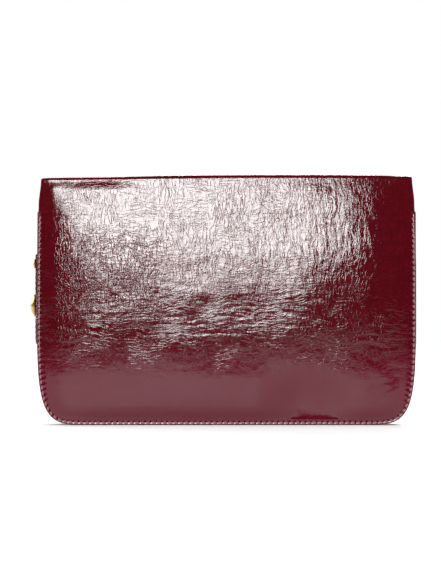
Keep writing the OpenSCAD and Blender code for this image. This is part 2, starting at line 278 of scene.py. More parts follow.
class Outline:
    """A panel's edge, from its right top round the foot to its left top, with an outward
    normal at each point. The points are spaced evenly, and closer near a bend whose distance
    from the top is given."""

    def __init__(self, half_w, top, corner, side_count, foot_count, narrowing=None, bend=None):
        a, b, n = corner
        phi = np.linspace(0, math.pi / 2, 2000)
        reach = (np.cos(phi) ** n + np.sin(phi) ** n) ** (-1 / n)
        curve = np.stack([half_w - a + a * reach * np.cos(phi), b - b * reach * np.sin(phi)], 1)
        rise = np.linspace(top, b, 300)[:-1]
        side = np.stack([half_w - (narrowing(rise) if narrowing else 0 * rise), rise], 1)
        foot = np.stack([np.linspace(half_w - a, 0, 300)[1:], np.zeros(299)], 1)
        line = np.concatenate([side, curve, foot])
        run = np.concatenate([[0], np.cumsum(np.linalg.norm(np.diff(line, axis=0), axis=1))])
        tangent = np.gradient(line, run, axis=0)
        tangent /= np.linalg.norm(tangent, axis=1)[:, None]
        turn = run[np.argmax(tangent[:, 0] < -math.sqrt(0.5))]
        spots = np.linspace(0, turn, 4000)
        crowding = 1 + (6 * bell(spots, bend, 1.6) if bend else 0 * spots)      # up to 7 times
        share = np.cumsum(crowding) - crowding[0]
        side_at = np.interp(np.linspace(0, share[-1], side_count + 1), share, spots)
        at = np.concatenate([side_at, np.linspace(turn, run[-1], foot_count // 2 + 1)[1:]])
        right = np.stack([np.interp(at, run, line[:, k]) for k in (0, 1)], 1)
        slope = np.stack([np.interp(at, run, tangent[:, k]) for k in (0, 1)], 1)
        slope /= np.linalg.norm(slope, axis=1)[:, None]
        normal = np.stack([-slope[:, 1], slope[:, 0]], 1)
        normal[-1] = (0, -1)
        flip = np.array([-1, 1])
        self.points = np.concatenate([right, (right * flip)[-2::-1]])
        self.normals = np.concatenate([normal, (normal * flip)[-2::-1]])
        self.side_count, self.foot_count = side_count, foot_count
        self.run = np.concatenate([at, 2 * run[-1] - at[-2::-1]])

    def inset(self, distance):
        points = self.points - self.normals * distance
        points[[0, -1], 1] = self.points[[0, -1], 1]
        return points

    def half_width(self, s, distance=0):
        """Half the width of the panel's inset outline at height s."""
        half = self.inset(distance)[: len(self.points) // 2 + 1]
        return np.interp(s, half[::-1, 1], half[::-1, 0])

    def patch(self, distance):
        """A grid of points that fills the inset outline: rows from the top down, columns
        from left to right."""
        edge = self.inset(distance)
        m, n = self.side_count, self.foot_count
        right, foot, left = edge[: m + 1], edge[m: m + n + 1][::-1], edge[m + n:][::-1]
        v = (self.run[: m + 1] / self.run[m])[:, None, None]
        u = np.linspace(0, 1, n + 1)[None, :, None]
        top = left[0] * (1 - u) + right[0] * u
        across = (1 - u) * left[:, None] + u * right[:, None]
        down = (1 - v) * top + v * foot[None]
        corners = ((1 - v) * ((1 - u) * left[0] + u * right[0])
                   + v * ((1 - u) * left[-1] + u * right[-1]))
        return across + down - corners


# ---- meshes

class Parts:
    """Several closed shapes gathered into one mesh. Points are in millimetres."""

    def __init__(self):
        self.vertices, self.faces, self.uv, self.materials, self.count = [], [], [], [], 0

    def add(self, vertices, faces, uv, material=0):
        self.vertices.append(vertices)
        self.faces += [tuple(int(i) + self.count for i in face) for face in faces]
        self.uv.append(uv)
        self.materials += list(material) if np.ndim(material) else [material] * len(faces)
        self.count += len(vertices)

    def build(self, name, materials, sharp=45):
        """A smooth mesh object, with its normals facing out."""
        mesh = bpy.data.meshes.new(name)
        mesh.from_pydata((np.concatenate(self.vertices) * MM).tolist(), [], self.faces)
        for material in materials:
            mesh.materials.append(material)
        mesh.polygons.foreach_set("material_index", np.array(self.materials, np.int32))
        work = bmesh.new()
        work.from_mesh(mesh)
        bmesh.ops.recalc_face_normals(work, faces=work.faces)
        work.to_mesh(mesh)
        work.free()
        uv = mesh.uv_layers.new(name=UV)
        corner = np.zeros(len(mesh.loops), np.int32)
        mesh.loops.foreach_get("vertex_index", corner)
        uv.data.foreach_set("uv", (np.concatenate(self.uv) * MM)[corner].ravel())
        mesh.polygons.foreach_set("use_smooth", np.ones(len(mesh.polygons), bool))
        mesh.set_sharp_from_angle(angle=math.radians(sharp))
        mesh.update()
        obj = bpy.data.objects.new(name, mesh)
        bpy.context.scene.collection.objects.link(obj)
        return obj


def closed_piece(name, shape, material, sharp=45):
    """A piece of one closed shape, which is given as vertices, faces and uv."""
    parts = Parts()
    parts.add(*shape)
    return parts.build(name, [material], sharp)


def settle(piece, nodes=(), body=None, blend=None):
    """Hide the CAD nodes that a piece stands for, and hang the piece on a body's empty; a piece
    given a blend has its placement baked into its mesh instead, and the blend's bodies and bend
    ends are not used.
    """
    if nodes:
        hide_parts(*nodes)
    if blend:
        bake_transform(piece)
    else:
        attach(piece, body)


def grid_faces(rows, columns):
    """Quads of a grid of rows by columns of points."""
    i, j = np.meshgrid(np.arange(rows - 1), np.arange(columns - 1), indexing="ij")
    a = (i * columns + j).ravel()
    return np.stack([a, a + 1, a + columns + 1, a + columns], 1)


def tube(sections, uv):
    """Closed shape through rings of equal length: vertices, faces and uv."""
    rows, columns = sections.shape[:2]
    faces = []
    for i in range(rows - 1):
        for j in range(columns):
            k = (j + 1) % columns
            corners = ((i, j), (i, k), (i + 1, k), (i + 1, j))
            faces.append([row * columns + column for row, column in corners])
    faces += [range(columns), range((rows - 1) * columns, rows * columns)]
    return sections.reshape(-1, 3), faces, uv.reshape(-1, 2)


def laid(place, x, s, h):
    """A closed shape through rings of points on a panel: vertices, faces and uv."""
    x, s, h = np.broadcast_arrays(x, s, h)
    return tube(place(x, s, h), np.stack([x, s], -1))


def layer(place, rows, half_width, low, high):
    """A flat layer of leather across the whole width, from height low to high over the
    hide's inner face: vertices, faces and uv for the distances s in rows."""
    columns, round_edge = 48, 0.25
    t = np.linspace(-1, 1, columns)
    xs = np.concatenate([t, t[::-1]])
    edge = np.concatenate([np.abs(t) > 0.9999, np.abs(t[::-1]) > 0.9999])
    hs = np.concatenate([np.full(columns, high), np.full(columns, low)])
    hs = np.where(edge, hs + np.where(hs > (low + high) / 2, -round_edge, round_edge), hs)
    widths = np.array([half_width(s) for s in rows])
    return laid(place, xs[None] * widths[:, None], rows[:, None], hs[None])


def strip(place, rows, inner, outer, low, high, round_edge=0.35, waist=None):
    """A strip with rounded edges from x = inner to x = outer, on either side of the middle,
    which moves inwards by waist(s): vertices, faces and uv."""
    shift = np.sign(outer) * waist(rows)[:, None] if waist else 0
    r = round_edge
    turn = [(0, 1), (0.3, 0.3), (1, 0)]
    corner = ([(inner, low, 1, 1, a, b) for a, b in turn]
              + [(outer, low, -1, 1, a, b) for b, a in turn]
              + [(outer, high, -1, -1, a, b) for a, b in turn]
              + [(inner, high, 1, -1, a, b) for b, a in turn])
    side = 1 if outer > inner else -1
    x = np.array([c[0] + side * c[2] * r * c[4] for c in corner])
    h = np.array([c[1] + c[3] * r * c[5] for c in corner])
    return laid(place, x[None] - shift, rows[:, None], h[None])


def padded_panel(outline, place, height, uv_s=None):
    """A leather panel: a crowned outer face, a rounded edge and a flat inner face.

    height(x, s, d, run) is the outer face's height at a distance d from the edge, and run
    is the distance along the edge (None away from it). uv_s turns the panel's own s into
    the hide's. The result is vertices, faces, uv and the material of each face.
    """
    m, n = outline.side_count, outline.foot_count
    path = len(outline.points)
    patch = outline.patch(PUFF_WIDTH).reshape(-1, 2)
    # Points: a patch in the middle, rings round it, and two rings on the inner face.
    flat = [patch]
    heights = [height(patch[:, 0], patch[:, 1], np.full(len(patch), PUFF_WIDTH), None)]
    for d in EDGE_RINGS[-2::-1]:
        ring = outline.inset(d)
        flat.append(ring)
        rounding = 0.5 * SKIN * (1 - math.sqrt(1 - (1 - min(d / EDGE_ROUND, 1)) ** 2))
        heights.append(height(ring[:, 0], ring[:, 1], np.full(path, d), outline.run) - rounding)
    for d, h in ((0.12, 0.12), (0.5, 0.0)):
        ring = outline.inset(d)
        flat.append(ring)
        heights.append(np.full(path, h))
    flat, heights = np.concatenate(flat), np.concatenate(heights)
    vertices = place(flat[:, 0], flat[:, 1], heights)

    # Faces of the patch, and of the rings, the outermost of which are painted.
    faces = grid_faces(m + 1, n + 1).tolist()
    paint = [0] * len(faces)
    right = np.arange(m + 1) * (n + 1) + n
    foot = m * (n + 1) + np.arange(n + 1)[::-1]
    left = np.arange(m, -1, -1) * (n + 1)
    previous = np.concatenate([right, foot[1:], left[1:]])
    first = (m + 1) * (n + 1)
    rings = len(EDGE_RINGS) + 1
    for k in range(rings):
        ring = first + k * path + np.arange(path)
        quads = np.stack([previous[:-1], previous[1:], ring[1:], ring[:-1]], 1)
        faces += quads.tolist()
        paint += [1 if k >= len(EDGE_RINGS) - 3 else 0] * len(quads)
        previous = ring
    # The inner face, in columns from side to side, and the flat ends at the foot and the top.
    columns = len(INSIDE_COLUMNS)
    right_edge, left_edge = flat[previous[: m + 1]], flat[previous[::-1][: m + 1]]
    share = np.array(INSIDE_COLUMNS)[None, :, None]
    inside = (right_edge[:, None] * (1 - share) + left_edge[:, None] * share).reshape(-1, 2)
    start = len(flat)
    flat = np.concatenate([flat, inside])
    vertices = np.concatenate([vertices, place(inside[:, 0], inside[:, 1], 0)])
    rows = start + np.arange((m + 1) * columns).reshape(m + 1, columns)
    rows = np.column_stack([previous[: m + 1], rows, previous[::-1][: m + 1]])
    quads = np.stack([rows[:-1, :-1], rows[:-1, 1:], rows[1:, 1:], rows[1:, :-1]], -1)
    faces += quads.reshape(-1, 4).tolist()
    paint += [0] * (m * (columns + 1))
    faces.append(tuple(previous[m: path - m].tolist() + rows[m, -2:0:-1].tolist()))
    top = [first + k * path for k in range(rings)]
    top_left = [index + path - 1 for index in top]
    faces.append(tuple(top[::-1] + list(range(n, -1, -1)) + top_left + rows[0, -2:0:-1].tolist()))
    paint += [0, 1]
    if uv_s:
        flat[:, 1] = uv_s(flat[:, 1])
    return vertices, faces, flat, paint


def lathe(name, profile, origin, axis, material):
    """A turned part: profile is a list of (radius, height) from the middle of its top, round
    its outside, to the middle of its foot."""
    axis = np.array(axis, float) / np.linalg.norm(axis)
    side = np.cross(axis, (1, 0, 0) if abs(axis[0]) < 0.9 else (0, 1, 0))
    side /= np.linalg.norm(side)
    other = np.cross(axis, side)
    angle = circle(64)
    ring = np.cos(angle)[:, None] * side + np.sin(angle)[:, None] * other
    sections = np.array([np.array(origin) + max(r, 0.02) * ring + h * axis for r, h in profile])
    arc = np.cumsum([0] + [math.dist(a, b) for a, b in zip(profile, profile[1:])])
    uv = np.stack(np.broadcast_arrays(angle[None] * 5, arc[:, None]), -1)
    return closed_piece(name, tube(sections, uv), material, sharp=35)


# ---- stitches

def stitch_spots(path):
    """Number, middle and direction of each stitch along a line of points [x, s]."""
    path = np.asarray(path, float)
    run = np.concatenate([[0], np.cumsum(np.linalg.norm(np.diff(path, axis=0), axis=1))])
    for i in range(int(run[-1] / STITCH_PITCH)):
        at = (i + 0.5) * STITCH_PITCH
        here, ahead, behind = (
            np.array([np.interp(at + step, run, path[:, k]) for k in (0, 1)])
            for step in (0, 0.8, -0.8)
        )
        along = (ahead - behind) / np.linalg.norm(ahead - behind)
        yield i, here, along


def add_stitch(parts, place, here, along, height, seed, length=STITCH_LEN, radius=0.62):
    """One stitch of two-ply thread that rises out of one hole and sinks into the next."""
    rng = np.random.default_rng(seed)
    angle = math.radians(STITCH_SLANT + rng.uniform(-4, 4))
    turn = np.array([[math.cos(angle), -math.sin(angle)], [math.sin(angle), math.cos(angle)]])
    along = turn @ along
    across = np.array([-along[1], along[0]])
    steps, around = 11, 8
    t = np.linspace(-1, 1, steps)[:, None]
    theta = circle(around)[None]
    swell = np.clip(1 - t ** 8, 0.25, 1) * rng.uniform(0.92, 1.06)
    ply = 1 + 0.2 * np.cos(2 * (theta - 3.2 * t))
    r = radius * swell * ply
    run = t * length / 2 + 0 * theta
    side = r * np.cos(theta)
    lift = height + 0.16 - 0.6 * t ** 4 + 0.55 * r * np.sin(theta)
    x = here[0] + run * along[0] + side * across[0]
    s = here[1] + run * along[1] + side * across[1]
    uv = np.stack([run + here[0], side + here[1]], -1)
    parts.add(*tube(place(x, s, lift), uv))


def add_hole(parts, place, here, along, height):
    """The mouth of a needle hole: a small oval dish let into the leather, whose near-black colour
    is painted shade.
    """
    steps, around = 4, 10
    theta = circle(around)[None]
    across = np.array([-along[1], along[0]])
    t = np.linspace(0.12, 1, steps)[:, None]
    u = 0.62 * t * np.cos(theta)
    v = 0.75 * t * np.sin(theta)
    x = here[0] + u * along[0] + v * across[0]
    s = here[1] + u * along[1] + v * across[1]
    top = height + 0.05 - 0.3 * t ** 4 + 0 * theta
    foot = height - 0.42 + 0 * top
    sections = np.concatenate([place(x, s, top), place(x[-1:], s[-1:], foot[-1:])])
    uv = np.stack([x, s], -1)
    parts.add(*tube(sections, np.concatenate([uv, uv[-1:]])))


def stitch_row(name, path, place, height, body, node, inward=HOLE_IN - STITCH_IN):
    """A row of stitches that stands for a CAD node, at one height over the leather's inner
    face. Its needle holes lie between them, inward of the thread."""
    threads, holes = Parts(), Parts()
    for i, here, along in stitch_spots(path):
        across = np.array([-along[1], along[0]])
        add_stitch(threads, place, here, along, height, i)
        spot = here - along * STITCH_PITCH / 2 - across * inward
        add_hole(holes, place, spot, along, height + 0.12)
    settle_threads(name, threads, holes, body, node)


def settle_threads(name, threads, holes, body, node):
    settle(threads.build(name, [THREAD]), [node], body)
    settle(holes.build(name + "_holes", [HOLE]), body=body)


# ---- materials

class Nodes:
    """Short calls for building one material's node tree."""

    def __init__(self, name):
        self.material = bpy.data.materials.new(name)
        self.material.use_nodes = True
        self.tree = self.material.node_tree
        self.shader = self.tree.nodes["Principled BSDF"]

    def put(self, socket, value):
        if isinstance(value, bpy.types.NodeSocket):
            self.tree.links.new(value, socket)
        else:
            socket.default_value = value

    def node(self, kind, inputs, output=0, **settings):
        made = self.tree.nodes.new(kind)
        for key, value in settings.items():
            setattr(made, key, value)
        for key, value in inputs.items():
            self.put(made.inputs[key], value)
        return made.outputs[output]

    def math(self, operation, a, b=0.0, c=0.0):
        return self.node("ShaderNodeMath", {0: a, 1: b, 2: c}, operation=operation)

    def flat_mm(self):
        """The leather's own flat coordinates, in millimetres."""
        uv = self.node("ShaderNodeUVMap", {}, uv_map=UV)
        return self.node("ShaderNodeVectorMath", {0: uv, "Scale": 1 / MM}, operation="SCALE")

    def solid_mm(self):
        """The object's own coordinates, in millimetres."""
        at = self.node("ShaderNodeTexCoord", {}, output=3)
        return self.node("ShaderNodeVectorMath", {0: at, "Scale": 1 / MM}, operation="SCALE")

    def stretch(self, vector, by, shift=(0, 0, 0)):
        return self.node("ShaderNodeVectorMath", {0: vector, 1: by, 2: shift},
                         operation="MULTIPLY_ADD")

    def noise(self, vector, scale=1.0, detail=2.0, roughness=0.5):
        return self.node("ShaderNodeTexNoise", {
            "Vector": vector, "Scale": scale, "Detail": detail, "Roughness": roughness,
        })

    def ramp(self, value, low, high, to_low=0.0, to_high=1.0):
        return self.node("ShaderNodeMapRange", {
            "Value": value, "From Min": low, "From Max": high, "To Min": to_low,
            "To Max": to_high,
        }, interpolation_type="SMOOTHSTEP")

    def mix(self, factor, a, b):
        made = self.tree.nodes.new("ShaderNodeMix")
        made.data_type = "RGBA"
        self.put(made.inputs[0], factor)
        self.put(made.inputs[6], a)
        self.put(made.inputs[7], b)
        return made.outputs[2]

    def bump(self, height_mm):
        return self.node("ShaderNodeBump", {"Height": height_mm, "Distance": MM, "Strength": 1.0})

    def creases(self, vector, by, shift):
        """Thin lines where a stretched noise crosses its middle: 0 on a line, 1 away."""
        value = self.noise(self.stretch(vector, by, shift), roughness=0.6)
        return self.ramp(self.math("ABSOLUTE", self.math("SUBTRACT", value, 0.5)), 0.0, 0.085)

    def product(self, *factors):
        result = factors[0]
        for factor in factors[1:]:
            result = self.math("MULTIPLY", result, factor)
        return result

    def two_tone(self, grain, dark, light, relief=None, **values):
        """A finished material whose colour and relief both follow one grain."""
        if relief:
            values["Normal"] = self.bump(self.product(grain, relief))
        return self.set(Base_Color=self.mix(grain, rgb(*dark), rgb(*light)), **values)

    def set(self, **values):
        for key, value in values.items():
            self.put(self.shader.inputs[key.replace("_", " ")], value)
        return self.material


def rgb(r, g, b):
    return (r, g, b, 1)


def glazed_leather():
    """Oxblood leather under a hard glaze, with a crosswise grain of ripples and creases."""
    n = Nodes("glazed_leather")
    flat = n.flat_mm()
    across = n.node("ShaderNodeSeparateXYZ", {0: flat}, output=0)
    along = n.node("ShaderNodeSeparateXYZ", {0: flat}, output=1)
    bent = n.node("ShaderNodeVectorMath", {
        0: n.node("ShaderNodeTexNoise", {"Vector": flat, "Scale": 0.06, "Detail": 2.0}, output=1),
        1: (7.0, 7.0, 0.0), 2: flat,
    }, operation="MULTIPLY_ADD")

    # Where each kind of relief is strong: level ripples low down, upright ones to one side,
    # a net of creases on the other side, and little relief near the foot and the sides.
    hatch = n.ramp(n.noise(flat, 0.04, 2.0), 0.42, 0.6)
    low_band = n.product(n.ramp(along, 38, 56), n.ramp(along, 96, 66),
                         n.ramp(n.math("ABSOLUTE", across), 30, 95, 1.0, 0.45))
    side_band = n.product(n.ramp(across, -15, -60), n.ramp(along, 60, 100))
    grid = n.product(n.ramp(across, 30, 58), n.ramp(along, 130, 112, 0.0, 0.02),
                     n.ramp(along, 62, 84))
    calm = n.ramp(along, 24, 42, 0.12, 1.0)
    sides = n.product(n.ramp(across, -76, -104, 1.0, 0.3), n.ramp(across, 98, 113, 1.0, 0.3))
    quiet = n.math("MAXIMUM", sides, n.ramp(along, 90, 64))

    level = n.noise(n.stretch(bent, (0.07, 0.5, 1), (3, 7, 0)))
    upright = n.noise(n.stretch(bent, (0.6, 0.1, 1), (31, 12, 0)))
    level_crease = n.creases(bent, (0.1, 0.44, 1), (13, 57, 0))
    upright_crease = n.creases(bent, (0.46, 0.11, 1), (71, 22, 0))
    height = n.product(level, n.math("MULTIPLY_ADD", low_band, 0.085,
                                     n.ramp(hatch, 0, 1, 0.012, 0.024)))
    for relief, depth in (
        (upright, n.math("MULTIPLY_ADD", side_band, 0.06, n.ramp(hatch, 0, 1, 0.022, 0.012))),
        (level_crease, n.math("ADD", n.ramp(hatch, 0, 1, 0.007, 0.022), grid)),
        (upright_crease, n.math("ADD", n.ramp(hatch, 0, 1, 0.02, 0.008), grid)),
        (n.noise(bent, 0.95, 2.0), 0.01),
    ):
        height = n.math("MULTIPLY_ADD", relief, depth, height)
    height = n.product(height, calm, quiet)

    tone = n.mix(n.noise(flat, 0.05, 3.0), rgb(0.074, 0.0005, 0.0036), rgb(0.097, 0.001, 0.0056))
    # Painted shade: the base colour is darker along the creases.
    colour = n.mix(n.product(level_crease, upright_crease), rgb(0.06, 0.0004, 0.0026), tone)
    # Painted floor reflection: below s = 62 the base colour turns lighter and more purple towards
    # the foot.
    colour = n.mix(n.ramp(along, 62, 24), colour, rgb(0.104, 0.0008, 0.0115))
    return n.set(Base_Color=colour, Roughness=0.6, Specular_IOR_Level=0.02, Coat_Weight=1.0,
                 Coat_Roughness=0.06, Coat_IOR=1.5, Normal=n.bump(height),
                 Coat_Normal=n.bump(height))


def edge_paint():
    """Dark, slightly uneven paint on the leather's cut and turned edges."""
    n = Nodes("edge_paint")
    return n.two_tone(n.noise(n.solid_mm(), 0.9, 3.0), (0.045, 0.001, 0.004),
                      (0.085, 0.003, 0.009), 0.08, Roughness=0.34, Specular_IOR_Level=0.5)


def suede():
    """The soft, napped side of the lining leather."""
    n = Nodes("lining_suede")
    at = n.flat_mm()
    cloud = n.noise(at, 0.05, 4.0)
    nap = n.noise(n.stretch(at, (2.4, 1.2, 1)), 1.0, 4.0, 0.7)
    tone = n.mix(cloud, rgb(0.12, 0.014, 0.02), rgb(0.19, 0.028, 0.034))
    colour = n.mix(n.ramp(nap, 0.3, 0.7), rgb(0.09, 0.009, 0.014), tone)
    return n.set(Base_Color=colour, Roughness=0.93, Specular_IOR_Level=0.2,
                 Sheen_Weight=0.35, Sheen_Roughness=0.5,
                 Normal=n.bump(n.product(nap, 0.16)))


def pocket_leather():
    """Smooth, thin leather for the slip pocket."""
    n = Nodes("pocket_leather")
    at = n.flat_mm()
    grain = n.node("ShaderNodeTexVoronoi", {"Vector": at, "Scale": 1.5})
    tone = n.mix(n.noise(at, 0.07, 3.0), rgb(0.06, 0.003, 0.007), rgb(0.1, 0.006, 0.012))
    return n.set(Base_Color=tone, Roughness=0.4, Specular_IOR_Level=0.5,
                 Normal=n.bump(n.product(grain, 0.06)))


def waxed_thread():
    n = Nodes("waxed_thread")
    return n.two_tone(n.noise(n.solid_mm(), 3.5, 3.0, 0.7), (0.17, 0.045, 0.058),
                      (0.38, 0.155, 0.175), 0.05, Roughness=0.5, Specular_IOR_Level=0.5,
                      Sheen_Weight=0.3)


def needle_hole_shade():
    n = Nodes("needle_hole_shade")
    # Painted shade: a near-black colour stands for the dark inside of the needle hole.
    return n.two_tone(n.noise(n.solid_mm(), 2.0, 2.0), (0.006, 0.0004, 0.0008),
                      (0.016, 0.001, 0.002), Roughness=0.9, Specular_IOR_Level=0.1)


def fibre_board():
    n = Nodes("fibre_board")
    fibres = n.noise(n.stretch(n.solid_mm(), (0.5, 2, 2)), 1.0, 5.0, 0.7)
    return n.two_tone(fibres, (0.3, 0.22, 0.14), (0.55, 0.46, 0.33), 0.1, Roughness=0.95,
                      Specular_IOR_Level=0.2)


def brass():
    """Polished brass with fine scratches and a little tarnish."""
    n = Nodes("brass")
    at = n.solid_mm()
    cloud = n.noise(at, 0.35, 4.0, 0.6)
    scratch = n.noise(n.stretch(at, (0.6, 7, 2.5)), 1.0, 3.0, 0.6)
    colour = n.mix(n.ramp(cloud, 0.35, 0.68), rgb(0.27, 0.15, 0.02), rgb(0.58, 0.39, 0.08))
    rough = n.ramp(n.product(cloud, scratch), 0.12, 0.42, 0.32, 0.16)
    return n.set(Base_Color=colour, Metallic=1.0, Roughness=rough,
                 Normal=n.bump(n.product(scratch, 0.006)))


LEATHER, EDGE, SUEDE, POCKET = glazed_leather(), edge_paint(), suede(), pocket_leather()
THREAD, HOLE, BOARD, BRASS = waxed_thread(), needle_hole_shade(), fibre_board(), brass()


# ---- the panels' shapes

def seam_detail(d, run):
    """The groove, needle dimples and puckered bead that a seam makes near the edge."""
    if run is None:
        return 0
    wave = 0.5 + 0.5 * np.cos(2 * math.pi * run / STITCH_PITCH)
    groove = -0.14 * bell(d, STITCH_IN, 0.6)
    dimple = -0.2 * bell(d, HOLE_IN, 0.5) * wave ** 3
    bead = 0.12 * bell(d, 0.7, 0.4) * (1 - 0.8 * wave)
    shoulder = 0.1 * bell(d, HOLE_IN + 1.3, 0.7) * (1 - 0.6 * wave)
    return groove + dimple + bead + shoulder


def wrinkles(x, s, seed):
    """Shallow folds in the leather, in millimetres: long level ones low down, short upright
    ones to one side, and a slow swell all over."""
    bend = 2.2 * noise(x / 19, s / 17, seed)
    swell = 0.17 * noise(x / 34, s / 26, seed + 1) + 0.04 * noise(x / 12, s / 9, seed + 2)
    band = bell(s, 65, 21) * smooth(0.25, 0.75, 0.5 + noise(x / 30, s / 40, seed + 3))
    level = noise(x / 13, (s + bend) / 2.7, seed + 4) * band * 0.068
    side = smooth(-20, 60, -x) * bell(s, 112, 34)
    upright = noise((x + bend) / 2.8, s / 12, seed + 5) * side * 0.045
    short = noise((x + bend) / 5.2, (s + bend) / 4.2, seed + 6) * 0.02
    return swell + level + upright + short


def crown(x, s, rise, centre, head, half_w):
    """How far a padded panel bulges: most at the height centre, nothing at its foot and
    sides. head is the distance from the centre over which it falls away upwards."""
    across = soft_positive(1 - np.abs(x / (half_w - 2)) ** 6, 0.02)
    below = np.clip((centre - s) / centre, 0, None) ** 2.4
    above = np.clip((s - centre) / head, 0, None) ** 2
    return rise * across * soft_positive(1 - below - above, 0.08)


def back_narrowing(s):
    """How much the back's half width shrinks above its lower corners."""
    low, whole = BODY_CORNER[1], HALF_W - TOP_HALF_W
    taper = np.minimum(whole * (s - low) / (SLANT - low), whole)
    return taper + 0.3 * smooth(MOUTH, MOUTH + 3, s) + fold_waist(s)


def fold_waist(s):
    """How much the hide's half width shrinks where it runs over the fold."""
    return 1.2 * smooth(142, S_FOLD, s) * smooth(S_FLAP + 12, S_FLAP_BEND, s)


def fold_dip(x, s):
    """How far the leather sinks at the fold towards +X, where it hangs."""
    return 0.42 * smooth(38, 78, x) * smooth(150, S_FOLD, s)


def puff(s, d):
    """How far the padding lifts the leather at a distance d from the edge: from the seam
    inwards, or from the edge itself over the fold, where there is no seam."""
    sewn = smooth(SEAM_TOP + 3, SEAM_TOP - 40, s) + smooth(S_FLAP + 12, S_FLAP + 45, s)
    return PUFF * (sewn * smooth(PUFF_IN, PUFF_WIDTH, d) + 0.5 * (1 - sewn) * smooth(-1.5, 5, d))


def foot_pinch(x, s):
    """How much of the padding is left near the foot, where it is pressed flat in one place."""
    place = smooth(-92, -62, x) * smooth(-18, -48, x)
    return 1 - 0.9 * place * smooth(40, 7, s - 0.14 * (x + 52))


def back_height(x, s, d, run):
    """The crown's highest line climbs towards both sides, which also stand out halfway up."""
    out = (x / HALF_W) ** 2
    centre = CROWN_Z + np.where(x > 0, 32 * out, 40 * np.tanh(2.6 * out))
    head = S_BACK_BEND + 2 - centre
    rise = crown(x, s, BACK_CROWN, centre, head, HALF_W) * smooth(S_MIDDLE, S_BACK_BEND + 2, s)
    belly = np.where(x > 0, 0.0185, 0.011) * out * (s - soft_positive(s - 62, 14))
    hollow = 0.5 * smooth(70, 112, x) * bell(s, 90, 26)
    rise = rise + belly * smooth(S_BACK_BEND, 92, s) - hollow
    fade = smooth(S_FOLD, S_BACK_BEND - 6, s)
    relief = (rise + wrinkles(x, s, 11) * (0.1 + 0.9 * fade)) * smooth(HOLE_IN, RELIEF_IN, d)
    seam = seam_detail(d, run) * smooth(SEAM_TOP + 2, SEAM_TOP, s)
    return SKIN + (puff(s, d) + relief) * foot_pinch(x, s) - fold_dip(x, s) + seam


def front_height(x, s, d, run):
    lift = 0.5 * smooth(PUFF_IN, PUFF_WIDTH, d) * smooth(MOUTH, 122, s)
    rise = crown(x, s, FRONT_CROWN, CROWN_Z, 68, HALF_W) * smooth(MOUTH, 118, s)
    relief = (rise + 0.5 * wrinkles(x, s, 31)) * smooth(HOLE_IN, RELIEF_IN, d)
    return SKIN + lift + relief + seam_detail(d, run)


def flap_height(x, s, d, run):
    """s runs on from the back, over the fold, so it grows towards the flap's lower edge."""
    start = smooth(S_FLAP_BEND, S_FLAP + 26, s)
    rise = crown(x, S_END - s, FLAP_CROWN, 56, 68, TOP_HALF_W)
    rise = rise * smooth(S_FLAP_BEND, S_FLAP + 12, s)
    dip = fold_dip(x, np.full_like(x, S_FOLD)) * smooth(S_FLAP + 16, S_FLAP_BEND, s)
    seam = seam_detail(d, run) * smooth(S_FLAP + 12, S_FLAP + 14, s)
    flat = 0.1 * wrinkles(x, s, 11) * smooth(S_FLAP, S_MIDDLE, s)
    relief = rise + wrinkles(x, S_END - s + 20, 51) * start + flat
    return SKIN + puff(s, d) + relief * smooth(2.5, 9, d) - dip + seam


# ---- leather pieces

def bend_ends(start, end):
    points = on_hide(np.zeros(2), np.array([start, end]), np.zeros(2))
    points[:, 2] += droop(0) * smooth(HANG_LOW, HANG_HIGH, points[:, 2])
    return [tuple(p * MM) for p in points]


BACK_BLEND = ("body", "fold", *bend_ends(S_BACK_BEND, S_FOLD))
FLAP_BLEND = ("fold", "flap", *bend_ends(S_FLAP_BEND, S_FLAP))


def on_flap(x, t, h):
    """Places on the hide by the distance t from the flap's lower edge."""
    return on_hide(x, S_END - t, h)


def add_turned_ends(parts, rows, margin):
    """The hide turned over to the inside at both ends of the fold."""
    for side in (-1, 1):
        edge = side * (TOP_HALF_W - margin)
        parts.add(*strip(on_hide, rows, edge - side * TURN_IN, edge, -CORE, -0.02,
                         waist=fold_waist), 1)


def add_turned_edge(parts, outline):
    """The edge of the hide turned over to the inside, all round the flap below its bend."""
    width = 7.0
    keep = outline.points[:, 1] < S_END - S_FLAP - 1
    section = [(0.35, -0.02), (0.1, -0.3), (0.2, -CORE + 0.15), (0.5, -CORE),
               (width - 0.3, -CORE), (width, -CORE + 0.3), (width, -0.02)]
    flats = [outline.inset(d)[keep] for d, _ in section]
    rings = [on_flap(flat[:, 0], flat[:, 1], h) for flat, (_, h) in zip(flats, section)]
    parts.add(*tube(np.stack(rings, 1), np.stack(flats, 1)), 1)


def back_leather():
    """The hide from the back's foot to the middle of the fold."""
    outline = Outline(HALF_W, S_MIDDLE, BODY_CORNER, 225, 320, back_narrowing, FOLD_FLAT / 2)
    parts = Parts()
    parts.add(*padded_panel(outline, on_hide, back_height))
    add_turned_ends(parts, np.linspace(MOUTH + 0.6, S_MIDDLE, 40), 0.5)
    piece = parts.build("back_leather", [LEATHER, EDGE])
    settle(piece, ["back_panel"], blend=BACK_BLEND)
    return outline


def flap_leather():
    """The hide from the middle of the fold to the flap's lower edge."""
    outline = Outline(TOP_HALF_W, S_END - S_MIDDLE, FLAP_CORNER, 190, 320,
                      lambda t: fold_waist(S_END - t), FOLD_FLAT / 2)

    def height(x, t, d, run):
        return flap_height(x, S_END - t, d, run)

    parts = Parts()
    parts.add(*padded_panel(outline, on_flap, height, uv_s=lambda t: S_END - t))
    add_turned_edge(parts, outline)
    add_turned_ends(parts, np.linspace(S_MIDDLE, S_FLAP + 1, 24), 0.3)
    piece = parts.build("flap_leather", [LEATHER, EDGE])
    settle(piece, ["flap_panel", "fold_leather"], blend=FLAP_BLEND)
    return outline


